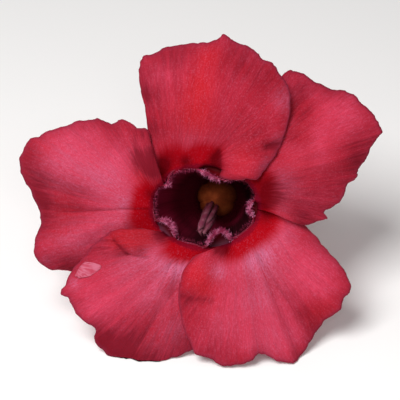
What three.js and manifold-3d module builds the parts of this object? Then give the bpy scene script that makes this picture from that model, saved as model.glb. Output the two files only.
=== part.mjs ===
// One picked bloom of the desert rose, Adenium obesum, lying on a table on two of its petals and
// on its stalk, with its mouth turned up and forward. Millimetres, +Z up, the bloom faces -Y.
//
// The corolla is one piece: five petals spread from the mouth of a funnel-shaped tube. Each petal
// is skewed clockwise and lies over its clockwise neighbour, like the blades of a pinwheel. Where
// two petals part, the mouth folds inwards as a small hood. Five stamens stand in the tube as a
// cone, with one long tail each, over a pistil. A calyx of five sepals, on a short stalk, holds
// the foot of the tube.
//
// Everything is drawn in the bloom's own frame, with the middle of the mouth at the origin, +z out
// of the mouth towards the eye, +x to the right and +y up. The whole bloom is then laid down.
import * as THREE from "three";
import { mergeVertices } from "three/addons/utils/BufferGeometryUtils.js";
import Module from "manifold-3d";

const wasm = await Module();
wasm.setup();

// ---- Driving dimensions ------------------------------------------------------------------------

const SEAM_GAP = 0.3; // between two pieces that touch
const FOOT_FLAT = 0.5; // how much of each low point is pressed flat by the table
const CORNER_INSET = 3; // degrees between a parting and the petal's corner beside it

const mouth = { halfWidth: 10.2, halfHeight: 8 }; // oval where the petals leave the tube
const tube = {
  wall: 0.8,
  sway: [2.3, 1.9], // how far its foot lies to the upper right of the mouth
  swayDepth: 12,
  sides: 60,
  inside: [ // [depth, half width, half height]
    [-31, 2.2, 2.2], [-28, 2.5, 2.5], [-25, 3.3, 3.3], [-21, 4.8, 4.7], [-15, 6.3, 5.9], [-9, 7.6, 6.5],
    [-5, 8.5, 6.9], [-2, 9.2, 7.3],
  ],
};
const hood = { rise: 0.6, pocket: 2 };
const petal = {
  thick: 0.85, // measured along z, so that a sloping petal is still over 0.6 through
  rootSink: 0.7, // how far its root reaches into the edge of the mouth
  rootHeight: -0.25,
  rise: 2.5, // from the mouth's edge up to the flat of the petal
  riseOver: 2.6, // the distance that this rise takes
  recurve: 2.6, // how far the outer edge falls back again
  twist: 0.45, // the clockwise side stands this much higher, the other this much lower
  tooth: 0.35, // depth of the fine teeth along the edge
  tuckGap: 0.45, // between a petal and the one that lies over it
  tuckReach: 1.2, // how far beyond the covering edge the petal stays down
  tuckSlope: 0.5, // how steeply it then comes up again
  tuckEase: 0.25,
  steps: 46,
  rings: 6,
};
const anther = { length: 8.4, radius: 1, foot: -21.5, ring: 1.75, lean: 0.17, firstAt: 18 };
const tail = { radius: 0.45, tip: [-0.6, -4.9, -2.2], bow: [0.5, 0.8], spread: 0.75, stagger: 0.45 };
const filament = { radius: 0.4, drop: 2.6, reach: 2.65 };
const pistil = { ovary: 1.45, style: 0.4, head: 0.95 };
const sepal = { length: 7.2, halfWidth: 1.25, thick: 0.7, flare: 0.25 };
const receptacle = { radius: 2.9, collar: 4.3, top: -31.3, bottom: -33.2 };
const stalk = { radius: 1.25, length: 7.4, droop: 2.6, aside: -0.6 };

// Where two petals part, clockwise from the top: the direction in degrees, how far the hood there
// reaches in over the mouth, and half of the angle that it covers.
const PARTINGS = [
  { at: 67, reach: 2.6, spread: 13 },
  { at: -1, reach: 1.4, spread: 11 },
  { at: -67, reach: 2.9, spread: 14 },
  { at: -148, reach: 2.4, spread: 13 },
  { at: -209, reach: 2, spread: 12 },
];

// Each petal's edge in millimetres, from its counter-clockwise corner, round its tip, to its
// clockwise corner. crown: heights of the outer edge, as [share of the way round, height].
// swells: round bulges, as [x, y, radius, height].
const PETALS = {
  top: {
    edge: [
      [-10, 10.8], [-10.8, 15], [-11.4, 19.4], [-12.1, 23.2], [-12.3, 26.2], [-11.5, 28.2], [-8.9, 29.1],
      [-6.3, 30.1], [-3.2, 30.6], [0, 30.8], [1.9, 31.4], [3.3, 32.2], [4.9, 31.2], [7.4, 30.2],
      [9.7, 28.7], [10.8, 27.7], [12.5, 26.8], [13.9, 25.3], [15.2, 23.3], [16, 20.3], [15.6, 16.5],
      [14.6, 12.7], [13.1, 9.9], [11.6, 7.4], [9.7, 5.7], [7.2, 5.3], [4.6, 5.9],
    ],
    crown: [[0, -1], [0.15, -1.4], [0.3, 0.3], [0.42, 1.6], [0.6, 0.6], [0.75, 0.3], [0.9, 1], [1, 1.3]],
    swells: [[8.2, 8, 3.6, 1.3]],
  },
  upper_right: {
    edge: [
      [8.6, 10.8], [10.8, 15.6], [12.7, 20.7], [14.6, 24.8], [16.5, 26], [18.6, 25.2], [20.9, 23.9],
      [23.8, 22.6], [26.5, 21.8], [28.8, 20.4], [30.3, 18.9], [31.6, 17.2], [32.6, 15.1], [32.9, 13.6],
      [32, 12.3], [31.1, 10.3], [30.2, 9.4], [28.8, 7.2], [28.7, 5.7], [26.9, 4], [25.8, 1.6],
      [24, 0], [22.4, -1], [23.1, -2.3], [20.9, -2.7], [18.1, -3.4], [15.6, -2], [13.3, -0.9],
    ],
    crown: [[0, -2.6], [0.12, -2.4], [0.2, -2.2], [0.34, -0.2], [0.45, 0.8], [0.6, -0.4], [0.75, -0.8],
      [0.88, 0.6], [1, 0.8]],
    swells: [[15.5, 1.2, 3.6, 0.9]],
  },
  lower_right: {
    edge: [
      [12.7, 0.6], [15.6, -0.8], [18.2, -2.9], [20.6, -5.7], [23.1, -8.4], [25.5, -11.1], [26.9, -14],
      [27.3, -16.2], [26, -17.3], [25.1, -19.5], [23.2, -21.2], [21.4, -23.5], [19.8, -25.9],
      [18.1, -28.2], [16.7, -29.4], [13.9, -28.9], [11.6, -27.9], [10.1, -27.4], [8.9, -28.5],
      [7.2, -29.5], [4.4, -29.9], [2.3, -29.3], [0.3, -28.4], [-1.8, -27.2], [-3.3, -24.3],
      [-4.3, -20.9], [-4.8, -17.3], [-4.6, -13.9], [-3.6, -11.2], [-2, -9.3], [0.2, -8.6],
    ],
    crown: [[0, -2], [0.1, -1], [0.2, 0.3], [0.3, 0.2], [0.38, -1.6], [0.47, -1], [0.58, 0.7],
      [0.7, 0.4], [0.8, 0.5], [0.9, 1], [1, 1.3]],
    swells: [[-1.4, -12.4, 3.4, 1.3]],
  },
  lower_left: {
    edge: [
      [1.9, -12.9], [1.7, -17.7], [0.6, -22.4], [-1.3, -26], [-3.2, -27.5], [-5.9, -28.4],
      [-8, -29.4], [-9.5, -30.1], [-11.8, -29.8], [-14.1, -29.5], [-15.2, -29.8], [-16.5, -28.9],
      [-18.7, -28], [-20.9, -25.8], [-20.8, -23], [-22.9, -21.2], [-24.9, -19], [-25.8, -16.9],
      [-27, -15.9], [-25.6, -13.5], [-24.1, -11], [-22, -8.6], [-20, -6.3], [-17.7, -4.6],
      [-14.8, -4], [-12, -4], [-9.6, -4.9],
    ],
    crown: [[0, -2.2], [0.12, -2], [0.2, -1], [0.3, -0.6], [0.39, -1.4], [0.5, -1.6], [0.6, 0.2],
      [0.7, 0.8], [0.8, 1], [0.9, 1.2], [1, 1.4]],
    swells: [[-14.2, -6, 3.2, 1.2]],
  },
  left: {
    edge: [
      [-12.4, -7.2], [-17.1, -9.1], [-21.5, -10.9], [-24.5, -12], [-27.2, -12], [-29.9, -11.2],
      [-32.1, -9.4], [-32, -6.3], [-30.9, -3.4], [-31.2, -0.6], [-32.5, 2.5], [-34.3, 5.8],
      [-34.8, 8.4], [-34.3, 10.6], [-32.9, 12.5], [-31, 13.5], [-28.4, 14.4], [-26, 15.1],
      [-23.8, 15.9], [-21.3, 16.1], [-20.4, 16.5], [-18.5, 15.9], [-16.8, 15.9], [-15.8, 16.5],
      [-13.8, 15.7], [-12.8, 14.7], [-10.9, 14.4], [-10.4, 12.7], [-9.7, 10.5], [-8.8, 8.6], [-7.6, 7.2],
    ],
    crown: [[0, -2], [0.1, -1.6], [0.2, -0.4], [0.25, 0.2], [0.31, -1.6], [0.4, 0.2], [0.5, 0.9],
      [0.6, 0.7], [0.75, 0.2], [0.85, 0.6], [0.93, 1], [1, 1.2]],
    swells: [[-11, 9.4, 3.2, 1.1]],
  },
};

const COLOURS = {
  corolla: new THREE.MeshStandardMaterial({ color: 0xc93a55, roughness: 0.62, metalness: 0 }),
  stamens: new THREE.MeshStandardMaterial({ color: 0xc99a86, roughness: 0.8, metalness: 0 }),
  pistil: new THREE.MeshStandardMaterial({ color: 0xb9c08a, roughness: 0.6, metalness: 0 }),
  green: new THREE.MeshStandardMaterial({ color: 0x7d8a4a, roughness: 0.65, metalness: 0 }),
};

// ---- Shared helpers ----------------------------------------------------------------------------

const UPWARD = new THREE.Vector3(0, 0, 1);
const radians = THREE.MathUtils.degToRad;
const smooth = THREE.MathUtils.smoothstep;

function toSolid(geometry) {
  const bare = geometry.clone();
  bare.deleteAttribute("normal");
  bare.deleteAttribute("uv");
  const merged = mergeVertices(bare, 1e-4);
  return new wasm.Manifold(
    new wasm.Mesh({
      numProp: 3,
      vertProperties: new Float32Array(merged.attributes.position.array),
      triVerts: new Uint32Array(merged.index.array),
    }),
  );
}

function toGeometry(solid) {
  const mesh = solid.getMesh();
  const geometry = new THREE.BufferGeometry();
  geometry.setAttribute("position", new THREE.BufferAttribute(mesh.vertProperties, 3));
  geometry.setIndex(new THREE.BufferAttribute(mesh.triVerts, 1));
  geometry.computeVertexNormals();
  return geometry;
}

function fuse(geometries) {
  return geometries.map(toSolid).reduce((whole, piece) => whole.add(piece));
}

// Reads a list of [place, value] pairs at any place, easing from each to the next.
function readAlong(table, place) {
  const next = table.findIndex(([at]) => at >= place);
  if (next === 0) return table[0][1];
  if (next < 0) return table.at(-1)[1];
  const [[a, low], [b, high]] = [table[next - 1], table[next]];
  return low + (high - low) * smooth(place, a, b);
}

function ovalRadius(halfWidth, halfHeight, angle) {
  return 1 / Math.hypot(Math.cos(angle) / halfWidth, Math.sin(angle) / halfHeight);
}

// The tube leans a little to the upper right on its way down, then runs straight.
function tubeMiddle(z) {
  const share = 1 - Math.exp(Math.min(z, 0) / tube.swayDepth);
  return new THREE.Vector3(tube.sway[0] * share, tube.sway[1] * share, z);
}

// ---- Petals: blades that fan out from the edge of the mouth ----------------------------------------

// A repeatable uneven number between -1 and 1 for each whole number.
function uneven(n) {
  const value = Math.sin(n * 127.1 + 11.7) * 43758.5453;
  return 2 * (value - Math.floor(value)) - 1;
}

// The outer edge at one place along it, with its fine uneven teeth.
function ragged(outline, across) {
  const inward = Math.min(1, 12 * across, 12 * (1 - across));
  const tooth = petal.tooth * inward * uneven(Math.round(across * petal.steps) + outline.points.length);
  const tangent = outline.getTangent(across);
  return outline.getPoint(across).add(new THREE.Vector2(-tangent.y, tangent.x).multiplyScalar(tooth));
}

function petalSurface({ edge, crown, swells }, fromAngle, toAngle) {
  const outline = new THREE.SplineCurve(edge.map(([x, y]) => new THREE.Vector2(x, y)));
  return (across, out) => {
    const angle = radians(THREE.MathUtils.lerp(fromAngle, toAngle, across));
    const r = ovalRadius(mouth.halfWidth, mouth.halfHeight, angle) - petal.rootSink;
    const root = new THREE.Vector2(r * Math.cos(angle), r * Math.sin(angle));
    const place = root.clone().lerp(ragged(outline, across), out);
    const away = Math.max(0, root.distanceTo(place) - petal.rootSink);
    const rise = 1 - Math.exp(-away / petal.riseOver);
    const bulge = swells.reduce((sum, [x, y, radius, height]) => {
      const near = place.distanceTo(new THREE.Vector2(x, y)) / radius;
      return sum + height * Math.exp(-near * near);
    }, 0);
    const height =
      petal.rootHeight +
      (petal.rise + petal.twist * (2 * across - 1)) * rise +
      readAlong(crown, across) * out ** 1.2 -
      petal.recurve * out * out +
      bulge * rise;
    return new THREE.Vector3(place.x, place.y, height);
  };
}

// Lowers a petal where its neighbour lies over it, so that it dips under the neighbour's edge.
function tuckedUnder(surface, neighbour) {
  const { steps, rings, thick } = petal;
  const cover = [];
  for (let i = 0; i < steps; i++)
    for (let j = 0; j < rings; j++) {
      const [a, b] = [neighbour(i / steps, j / rings), neighbour((i + 1) / steps, j / rings)];
      const [c, d] = [neighbour(i / steps, (j + 1) / rings), neighbour((i + 1) / steps, (j + 1) / rings)];
      for (const along of [0, 0.5, 1])
        for (const out of [0, 0.25, 0.5, 0.75, 1]) {
          cover.push(a.clone().lerp(b, along).lerp(c.clone().lerp(d, along), out));
        }
    }
  return (across, out) => {
    const p = surface(across, out);
    const ceiling = cover.reduce((lowest, q) => {
      const beyond = Math.max(0, Math.hypot(p.x - q.x, p.y - q.y) - petal.tuckReach);
      return Math.min(lowest, q.z + petal.tuckSlope * beyond);
    }, Infinity);
    const limit = ceiling - thick - petal.tuckGap;
    const lower = Math.min(p.z, limit);
    p.z = lower - petal.tuckEase * Math.log1p(Math.exp(-Math.abs(p.z - limit) / petal.tuckEase));
    return p;
  };
}

// A closed blade about a surface, split into triangles alike on both faces. faceOf gives the
// direction in which the blade is thick at each point.
function bladeGeometry(surface, faceOf, thick, steps, rings) {
  const points = [];
  for (const side of [0.5, -0.5])
    for (let i = 0; i <= steps; i++)
      for (let j = 0; j <= rings; j++) {
        const p = surface(i / steps, j / rings);
        points.push(...p.addScaledVector(faceOf(p), side * thick).toArray());
      }
  const front = (i, j) => i * (rings + 1) + j;
  const back = (i, j) => front(i, j) + (steps + 1) * (rings + 1);
  const faces = [];
  const quad = (a, b, c, d) => faces.push(a, c, b, a, d, c);
  for (let i = 0; i < steps; i++)
    for (let j = 0; j < rings; j++) {
      const [p, q, r, s] = [[i, j], [i, j + 1], [i + 1, j + 1], [i + 1, j]];
      quad(front(...p), front(...q), front(...r), front(...s));
      faces.push(back(...p), back(...q), back(...r), back(...p), back(...r), back(...s));
    }
  for (let i = 0; i < steps; i++) {
    quad(front(i + 1, 0), back(i + 1, 0), back(i, 0), front(i, 0));
    quad(front(i, rings), back(i, rings), back(i + 1, rings), front(i + 1, rings));
  }
  for (let j = 0; j < rings; j++) {
    quad(front(0, j), back(0, j), back(0, j + 1), front(0, j + 1));
    quad(front(steps, j + 1), back(steps, j + 1), back(steps, j), front(steps, j));
  }
  const geometry = new THREE.BufferGeometry();
  geometry.setAttribute("position", new THREE.Float32BufferAttribute(points, 3));
  geometry.setIndex(faces);
  return geometry;
}

function petalBlades() {
  const names = Object.keys(PETALS);
  const surfaces = names.map((name, k) => {
    const from = k === 0 ? PARTINGS[4].at + 360 : PARTINGS[k - 1].at;
    return petalSurface(PETALS[name], from - CORNER_INSET, PARTINGS[k].at + CORNER_INSET);
  });
  return names.map((name, k) => {
    const surface = tuckedUnder(surfaces[k], surfaces[(k + 4) % 5]);
    return bladeGeometry(surface, () => UPWARD, petal.thick, petal.steps, petal.rings);
  });
}

// ---- Tube: a sleeve whose wall is lofted round, with five hoods folded in at its mouth --------------

// How much of a hood stands at one angle, from 0 to 1, and how far in it reaches.
function hoodAt(angle) {
  return PARTINGS.reduce(
    (most, { at, reach, spread }) => {
      const off = THREE.MathUtils.euclideanModulo(THREE.MathUtils.radToDeg(angle) - at + 180, 360) - 180;
      const share = Math.exp(-((off / spread) ** 2));
      return share > most.share ? { share, reach } : most;
    },
    { share: 0, reach: 0 },
  );
}

// The closed outline of the wall at one angle: up the inside, over the rim and down the outside.
function tubeSection(angle) {
  const { share, reach } = hoodAt(angle);
  const lip = ovalRadius(mouth.halfWidth, mouth.halfHeight, angle);
  const inside = tube.inside.map(([z, a, b]) => {
    return [ovalRadius(a, b, angle) - share * reach * smooth(z, -12, -1), z];
  });
  const plain = [[0.75, 0.05], [0.6, 0.17], [0.45, 0.2], [0.35, 0.2], [0.2, 0.15]];
  const hooded = [
    [0.75 + reach, 0.05 + hood.rise],
    [0.35 + reach, 0.25 + hood.rise],
    [0.85 + 0.55 * reach, -hood.pocket],
    [1, -hood.pocket],
    [0.3, 0.12],
  ];
  const rim = plain.map(([inward, z], i) => {
    const [hoodInward, hoodZ] = hooded[i];
    return [lip - inward - share * (hoodInward - inward), z + share * (hoodZ - z)];
  });
  const outside = tube.inside.slice(0, -1).reverse().map(([z, a, b]) => {
    return [ovalRadius(a, b, angle) + tube.wall, z];
  });
  return [...inside, ...rim, [lip, 0.1], [lip, -0.7], [lip - 0.45, -2.6], ...outside];
}

function tubeGeometry(sides) {
  const points = [];
  const faces = [];
  let count = 0;
  for (let k = 0; k < sides; k++) {
    const angle = (k / sides) * 2 * Math.PI;
    const section = tubeSection(angle);
    count = section.length;
    for (const [r, z] of section) {
      const middle = tubeMiddle(z);
      points.push(middle.x + r * Math.cos(angle), middle.y + r * Math.sin(angle), z);
    }
  }
  for (let k = 0; k < sides; k++)
    for (let j = 0; j < count; j++) {
      const [a, b] = [k * count + j, k * count + ((j + 1) % count)];
      const [c, d] = [((k + 1) % sides) * count + ((j + 1) % count), ((k + 1) % sides) * count + j];
      faces.push(a, b, c, a, c, d);
    }
  const geometry = new THREE.BufferGeometry();
  geometry.setAttribute("position", new THREE.Float32BufferAttribute(points, 3));
  geometry.setIndex(faces);
  return geometry;
}

// ---- Stamens: five anthers leaning together in a cone, with tails and short filaments --------------

function circleShape(radius, sides) {
  const corners = Array.from({ length: sides }, (_, i) => {
    const angle = (i / sides) * 2 * Math.PI;
    return new THREE.Vector2(radius * Math.cos(angle), radius * Math.sin(angle));
  });
  return new THREE.Shape(corners);
}

function strand(points, radius, sides, steps) {
  return new THREE.ExtrudeGeometry(circleShape(radius, sides), {
    steps,
    extrudePath: new THREE.CatmullRomCurve3(points),
    bevelEnabled: false,
  });
}

// Turned about +z from [radius, height] pairs, which begin and end on the axis.
function turned(profile, sides) {
  const outline = profile.map(([r, y]) => new THREE.Vector2(r, y));
  return new THREE.LatheGeometry(outline, sides).rotateX(Math.PI / 2);
}

// One anther: a pointed spindle that leans in over the middle.
function antherGeometry(angle) {
  const { length, radius, ring, lean } = anther;
  const spindle = [
    [0, 0], [0.7 * radius, 0.7], [radius, 0.35 * length], [0.6 * radius, 0.75 * length], [0, length],
  ];
  return turned(spindle, 7).scale(0.75, 1, 1).rotateY(-lean).translate(ring, 0, 0).rotateZ(angle);
}

// A tail leaves the tip of each anther, bows round the others, and leans to the lower left. A
// filament carries the foot of each anther on the wall of the tube.
function stamensSolid() {
  const { length, foot, ring, firstAt } = anther;
  const base = tubeMiddle(foot);
  const top = tubeMiddle(foot + length);
  const core = [[0, 0], [ring + 0.2, 0.3], [0.75 * ring, 0.5 * length], [0.5, length], [0, length]];
  const pieces = [turned(core, 10).translate(base.x, base.y, foot)];
  for (let k = 0; k < 5; k++) {
    const angle = radians(firstAt + 72 * k);
    const sideways = (r, turn) => new THREE.Vector3(Math.cos(angle + turn), Math.sin(angle + turn), 0)
      .multiplyScalar(r);
    pieces.push(antherGeometry(angle).translate(base.x, base.y, foot));

    const start = top.clone().add(sideways(0.25, 0)).setZ(top.z - 1.2);
    const tip = new THREE.Vector3(...tail.tip).add(sideways(tail.spread, 2.4));
    tip.z -= tail.stagger * k;
    const bow = new THREE.Vector3(...tail.bow, 0).add(sideways(tail.spread, 1.2));
    const middle = top.clone().lerp(tip, 0.5).add(bow);
    pieces.push(strand([start, middle, tip], tail.radius, 6, 11));

    const knee = base.clone().add(sideways(ring, 0)).setZ(foot + 1);
    const wall = tubeMiddle(foot - filament.drop).add(sideways(filament.reach, 0));
    pieces.push(strand([knee, wall], filament.radius, 6, 1));
  }
  return fuse(pieces);
}

// ---- Pistil: two fused carpels, a thin style and a thick stigma head under the anthers -------------

function pistilGeometry() {
  const foot = receptacle.top + SEAM_GAP;
  const tip = anther.foot - SEAM_GAP;
  const { ovary, style, head } = pistil;
  const profile = [
    [0, foot], [0.8 * ovary, foot], [ovary, foot + 1.2], [0.6 * ovary, foot + 2.4], [style, foot + 3.2],
    [style, tip - 2], [0.9 * head, tip - 1.5], [head, tip - 0.3], [0.6 * head, tip], [0, tip],
  ];
  const middle = tubeMiddle(foot);
  return turned(profile, 12).translate(middle.x, middle.y, 0);
}

// ---- Calyx: five pointed sepals close round the foot of the tube, and the stalk under them ---------

// The outside radius of the tube's foot, which is round.
function tubeOutside(z) {
  return readAlong(tube.inside.map(([at, radius]) => [at, radius]), z) + tube.wall;
}

// A narrow leaf that follows the tube, widest a third of the way up, and bends away at its tip.
function sepalGeometry(direction) {
  const { length, halfWidth, thick, flare } = sepal;
  const surface = (across, out) => {
    const z = receptacle.top + 0.3 + out * length;
    const clear = SEAM_GAP + 0.1 + thick / 2;
    const r = Math.max(tubeOutside(z), 3.2) + clear + flare * out * out;
    const width = halfWidth * (0.75 + 1.4 * out) * (1 - out) ** 0.75 + 0.12;
    const angle = direction + ((2 * across - 1) * width) / r;
    return new THREE.Vector3(r * Math.cos(angle), r * Math.sin(angle), z);
  };
  return bladeGeometry(surface, (p) => p.clone().setZ(0).normalize(), thick, 4, 7);
}

// A short stub that droops a little, snapped off where the bloom was picked.
function stalkGeometry() {
  const { radius, length, droop, aside } = stalk;
  const start = new THREE.Vector3(0, 0, receptacle.bottom + 0.6);
  const bend = new THREE.Vector3(0, -0.25 * droop, receptacle.bottom - 0.55 * length);
  const end = new THREE.Vector3(aside, -droop, receptacle.bottom - length);
  return strand([start, bend, end], radius, 12, 6);
}

function calyxSolid() {
  const { radius, collar, top, bottom } = receptacle;
  const cup = [
    [0, bottom], [0.6 * radius, bottom], [radius, bottom + 0.8], [collar, top + 0.7],
    [collar - 0.7, top + 0.9], [collar - 0.9, top], [0, top],
  ];
  const sepals = PARTINGS.map(({ at }) => sepalGeometry(radians(at + 36)));
  const middle = tubeMiddle(bottom);
  return fuse([turned(cup, 20), stalkGeometry(), ...sepals]).translate([middle.x, middle.y, 0]);
}

// ---- The bloom, laid on the table ------------------------------------------------------------------

const bloom = new THREE.Group();

function place(name, geometry, material) {
  const mesh = new THREE.Mesh(geometry, material);
  mesh.name = name;
  bloom.add(mesh);
}

place("corolla", toGeometry(fuse([tubeGeometry(tube.sides), ...petalBlades()])), COLOURS.corolla);
place("stamens", toGeometry(stamensSolid()), COLOURS.stamens);
place("pistil", pistilGeometry(), COLOURS.pistil);
place("calyx_and_stalk", toGeometry(calyxSolid()), COLOURS.green);

// The lowest point of a piece, on one side of the bloom's middle where a side is named.
function lowestPoint(name, side = 0) {
  const mesh = bloom.getObjectByName(name);
  const position = mesh.geometry.getAttribute("position");
  const point = new THREE.Vector3();
  const lowest = new THREE.Vector3(0, 0, Infinity);
  for (let i = 0; i < position.count; i++) {
    point.fromBufferAttribute(position, i).applyMatrix4(mesh.matrixWorld);
    if (point.z < lowest.z && point.x * side >= 0) lowest.copy(point);
  }
  return lowest;
}

// Turns the bloom until its three low points are level, as it would roll to rest: the edges of the
// two lower petals and the end of the stalk.
function layDown() {
  bloom.rotation.set(radians(50), 0, 0);
  for (let pass = 0; pass < 30; pass++) {
    bloom.updateMatrixWorld(true);
    const right = lowestPoint("corolla", 1);
    const left = lowestPoint("corolla", -1);
    const back = lowestPoint("calyx_and_stalk");
    const normal = back.sub(right).cross(left.sub(right)).normalize();
    const turn = new THREE.Quaternion().setFromUnitVectors(normal, new THREE.Vector3(0, 0, 1));
    bloom.quaternion.premultiply(turn);
  }
  bloom.updateMatrixWorld(true);
}

// Presses each low point flat against the table, and sets the table under the middle of the bloom.
function setOnTable() {
  const box = new THREE.Box3().setFromObject(bloom, true);
  const table = box.min.z + FOOT_FLAT;
  const slab = new THREE.BoxGeometry(200, 200, 20).translate(0, 0, table - 10);
  slab.applyMatrix4(bloom.matrixWorld.clone().invert());
  for (const name of ["corolla", "calyx_and_stalk"]) {
    const mesh = bloom.getObjectByName(name);
    mesh.geometry = toGeometry(toSolid(mesh.geometry).subtract(toSolid(slab)));
  }
  const pressed = new THREE.Box3().setFromObject(bloom, true);
  const middle = pressed.getCenter(new THREE.Vector3());
  bloom.position.sub(new THREE.Vector3(middle.x, middle.y, table));
}

layDown();
setOnTable();

export default bloom;
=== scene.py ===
import math
import random

import bpy
import numpy as np
from mathutils import Matrix, Vector


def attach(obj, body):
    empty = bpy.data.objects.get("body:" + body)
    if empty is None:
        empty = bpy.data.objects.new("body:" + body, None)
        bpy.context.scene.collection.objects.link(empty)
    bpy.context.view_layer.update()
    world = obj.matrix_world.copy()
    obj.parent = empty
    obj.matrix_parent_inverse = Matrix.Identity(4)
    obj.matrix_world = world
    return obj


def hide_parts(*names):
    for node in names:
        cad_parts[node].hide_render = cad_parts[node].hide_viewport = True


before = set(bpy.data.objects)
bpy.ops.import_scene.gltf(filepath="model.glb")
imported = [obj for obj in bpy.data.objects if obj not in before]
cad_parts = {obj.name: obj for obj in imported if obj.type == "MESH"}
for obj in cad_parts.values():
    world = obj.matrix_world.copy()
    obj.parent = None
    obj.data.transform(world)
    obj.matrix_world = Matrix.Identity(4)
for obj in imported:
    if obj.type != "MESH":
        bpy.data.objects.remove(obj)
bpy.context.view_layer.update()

# ---- Petals ------------------------------
# Five thin, limp petals of one crimson-pink corolla, each lying over the next one clockwise. Each
# is a sheet that fans out from the mouth's edge to a finely ragged margin. Every piece is shaped
# in millimetres, with the mouth's middle at the origin and +z out of it, and then laid down.

MOUTH_HALF_WIDTH = 10.2
MOUTH_HALF_HEIGHT = 8.0
# The edge of the mouth, clockwise from the right. It folds inwards at the five partings.
MOUTH_EDGE = [
    (9.6, 2.7), (9.2, 1.5), (8.4, 0.7), (8.2, -0.5), (8.6, -1.5), (8.9, -2.6), (8.0, -3.8), (6.5, -5.1),
    (5.2, -5.7), (4.75, -6.1), (4.5, -5.2), (3.5, -4.4), (2.4, -4.5), (1.2, -5.3), (0.5, -6.4), (0.0, -7.4),
    (-1.8, -6.9), (-3.8, -6.4), (-5.3, -6.0), (-5.6, -4.9), (-5.9, -3.9), (-6.4, -3.1), (-7.4, -2.5),
    (-8.4, -2.4), (-9.1, -2.3), (-9.5, -1.0), (-9.6, 0.6), (-9.6, 2.2), (-9.1, 3.6), (-8.0, 3.8),
    (-6.9, 4.0), (-6.7, 4.9), (-6.4, 5.9), (-5.7, 6.7), (-4.1, 7.0), (-2.1, 7.1), (-0.6, 6.5), (0.7, 6.0),
    (1.6, 5.4), (3.0, 5.0), (4.5, 4.8), (6.2, 5.2), (7.8, 4.6), (9.0, 3.7),
]
PARTINGS = (67, -1, -67, -148, -209)
CORNER_OVERLAP = 1.5
EDGE_POINTS = 256
PETAL_ACROSS = 230
PETAL_OUT = 72
PETAL_THICK = 0.42
PETAL_SPACING = 0.72
# A petal rises from the mouth's edge, a little more towards its clockwise corner.
PETAL_RISE = 2.4
RISE_WIDTH = 2.6
CORNER_TILT = 0.45
# Teeth along the margin and pleats fanning out to it: how many of each size, and how high.
TEETH = ((38, 0.24), (85, 0.16), (190, 0.07))
PLEATS = ((9, 0.22), (21, 0.12), (44, 0.05))

# Each petal's edge runs from its counter-clockwise corner round the tip to its clockwise corner.
# Crown is the height of that edge and red how far the mouth's red ring reaches out, both as
# (share of the edge, value). Droop is how far the tip sinks. Swells are round bulges (x, y,
# radius, height), lobes raised ovals (x, y, half-width, half-height, tilt, height) and folds
# creases (x, y, x, y, width, height). Warm, rose and blush are redder, brighter and paler patches,
# and the last list holds darker ones, all as (x, y, radius, strength). The darker patches are
# partly the petal's duller crimson and partly painted shade, on slopes turned from the light, in
# valleys and in the hollows at the mouth's partings; the few negative ones are painted light.
PETALS = {}
PETALS["top"] = {
    "edge": [(-10, 10.8), (-10.8, 15), (-11.4, 19.4), (-12.1, 23.2), (-12.3, 26.2), (-11.5, 28.2),
        (-8.9, 29.1), (-6.3, 30.1), (-3.2, 30.6), (0, 30.8), (1.9, 31.4), (3.3, 32.2), (4.9, 31.2),
        (7.4, 30.2), (9.7, 28.7), (10.8, 27.7), (12.5, 26.8), (13.9, 25.3), (15.2, 23.3), (16, 20.3),
        (15.6, 16.5), (14.6, 12.7), (13.1, 9.9), (11.6, 7.4), (9.9, 5.5), (7.2, 5.1), (4.6, 5.1),
        (2.6, 5.6)],
    "crown": [(0, 0.2), (0.05, 0.1), (0.12, -1.4), (0.2, -0.9), (0.3, 0.5), (0.42, 1.9), (0.55, 0.9),
        (0.7, 0.1), (0.85, 0.2), (0.93, 0.9), (1, 1.3)],
    "droop": 1.6,
    "swells": [(8.2, 7.6, 3.4, 1.0)],
    "lobes": [(7.6, 7.4, 5.0, 4.2, 10, 0.8)],
    "folds": [(2.6, 9.5, 1.6, 31, 1.8, 0.35), (2.4, 5.5, 2.6, 10.5, 0.9, -1.0),
        (11.6, 11.2, 15.2, 12, 0.9, -0.8)],
    "red": [(0, 2), (0.1, 4.9), (0.25, 4.9), (0.38, 3.6), (0.5, 4.4), (0.68, 4.6), (0.78, 2), (1, 0)],
    "warm": [(-2.2, 16.5, 3.5, 1.1), (-0.8, 22.5, 3, 1), (0.6, 28, 2.6, 0.8), (7, 9, 3.5, 0.6)],
    "rose": [(-7.5, 26, 4, 0.5), (3, 21, 3, 0.35), (7, 8, 3.4, 0.3), (11.8, 7.8, 1.8, 0.7),
        (8.4, 13.6, 4, -0.45), (8.5, 24.4, 3, -0.35), (13, 19, 3, 0.2), (9.5, 14, 2.5, -0.3),
        (-8, 11, 2, -0.3)],
    # The blush at the right margin (14.8, 20) is a painted sheen, and the one at (13.4, 12.6), beside the
    # notch, a painted highlight.
    "blush": [(-3, 12, 2.5, 0.2), (8.4, 13.4, 4.5, -0.4), (8.8, 24.4, 3, -0.2), (2, 12, 2, 0.15),
        (12, 7.6, 2, 0.5), (13.4, 12.6, 1.6, 0.4), (14.8, 20, 2.4, 0.4)],
    "darker_and_shade": [(2, 7.2, 1.3, 1.8), (2, 9.2, 1.1, 1.2), (13.2, 11.3, 1.6, 0.6), (-11.8, 21, 3, 1.1),
        (-11.4, 14, 3.2, 1), (13, 23, 4, 0.4), (-11.5, 26, 2.5, 0.5), (6, 28, 3.5, 0.75), (6, 14, 6, 0.35),
        (12, 12, 3, 0.3), (0, 20, 14, 0.18), (-8.6, 7.4, 1.7, 2), (-3.6, 8.6, 1.2, 1.1),
        (-5.5, 28.5, 3.5, 0.5), (-7, 8.6, 2, 0.7), (-6, 15, 4, 0.4), (-3, 13, 4, 0.2), (-6, 22, 3, 0.25),
        (3, 12, 4, 0.25), (10, 24, 3, 0.3), (-7, 28, 3, 0.3), (-10.8, 27.3, 1.5, -0.3)],
}
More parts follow.
